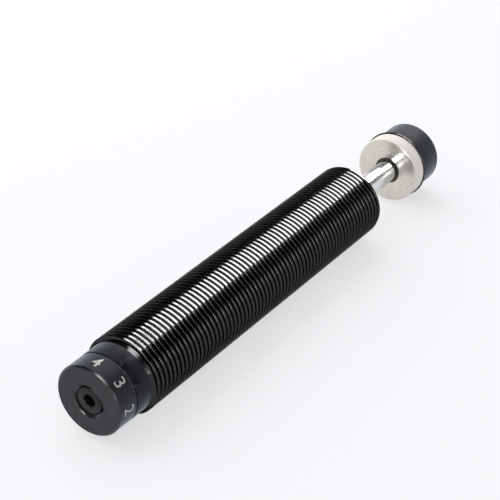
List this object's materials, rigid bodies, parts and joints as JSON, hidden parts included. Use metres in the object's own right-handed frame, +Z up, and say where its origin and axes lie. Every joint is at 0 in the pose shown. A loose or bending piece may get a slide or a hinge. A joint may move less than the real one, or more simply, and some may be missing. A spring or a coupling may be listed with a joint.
{
  "type": "industrial shock absorber",
  "caption": "Adjustable hydraulic shock absorber in a threaded black sleeve, with a rear adjusting knob, a chromed rod, a strike button and a bumper cap.",
  "frame": {"origin": "on the axis, at the front face of the threaded housing, where the rod comes out", "axes": "+X along the axis towards the strike cap, +Z up, with the housing's fill plug at +Z"},
  "size_m": [0.1436, 0.02, 0.02],
  "materials": {
    "black_oxide_steel": "black oxide, oiled, semi-gloss",
    "black_oxide_knob": "black oxide, satin turned",
    "black_screw": "black oxide, satin",
    "phosphated_spring_steel": "phosphated, matt",
    "steel": "turned",
    "spring_steel": "bright drawn",
    "hard_chrome": "ground and polished hard chrome",
    "nickel_plate": "satin nickel plate over turned steel",
    "bronze": "sintered",
    "cap_polyurethane": "moulded satin polyurethane",
    "seal_polyurethane": "moulded, smooth",
    "nitrile_rubber": "moulded, matt",
    "foam": "closed-cell foam"
  },
  "bodies": {
    "housing_body": {"housing": "black_oxide_steel", "retaining_ring": "phosphated_spring_steel", "gland": "steel", "gland_o_ring": "nitrile_rubber", "wiper_ring": "seal_polyurethane", "rod_seal": "seal_polyurethane", "guide_bush": "bronze", "accumulator_foam": "foam", "pressure_tube": "steel", "tube_plug": "steel", "return_spring": "spring_steel", "stop_pin": "steel", "detent_ball": "spring_steel", "detent_spring": "spring_steel", "fill_plug": "steel", "thrust_washer": "bronze"},
    "piston_ring_body": {"piston_ring": "bronze"},
    "rod_body": {"piston_rod": "hard_chrome", "piston_head": "steel", "check_disc": "spring_steel", "piston_nut": "steel", "strike_button": "nickel_plate", "bumper_cap": "cap_polyurethane"},
    "adjuster_body": {"adjusting_knob": "black_oxide_knob", "knob_screw": "black_screw", "adjusting_spindle": "steel", "spindle_o_ring": "nitrile_rubber", "metering_sleeve": "steel"}
  },
  "joints": [
    {"name": "rod_slide", "type": "slide", "parent": "housing_body", "child": "piston_ring_body", "axis": [1, 0, 0], "range_m": [-0.02, 0], "stiffness_N_per_m": 400, "springref_m": 0.01, "deforming": ["return_spring"]},
    {"name": "rod_turn", "type": "hinge", "parent": "piston_ring_body", "child": "rod_body", "pos_m": [0, 0, 0], "axis": [1, 0, 0], "continuous": true},
    {"name": "adjuster_turn", "type": "hinge", "parent": "housing_body", "child": "adjuster_body", "pos_m": [-0.106, 0, 0], "axis": [1, 0, 0], "range_deg": [-90, 90]}
  ]
}
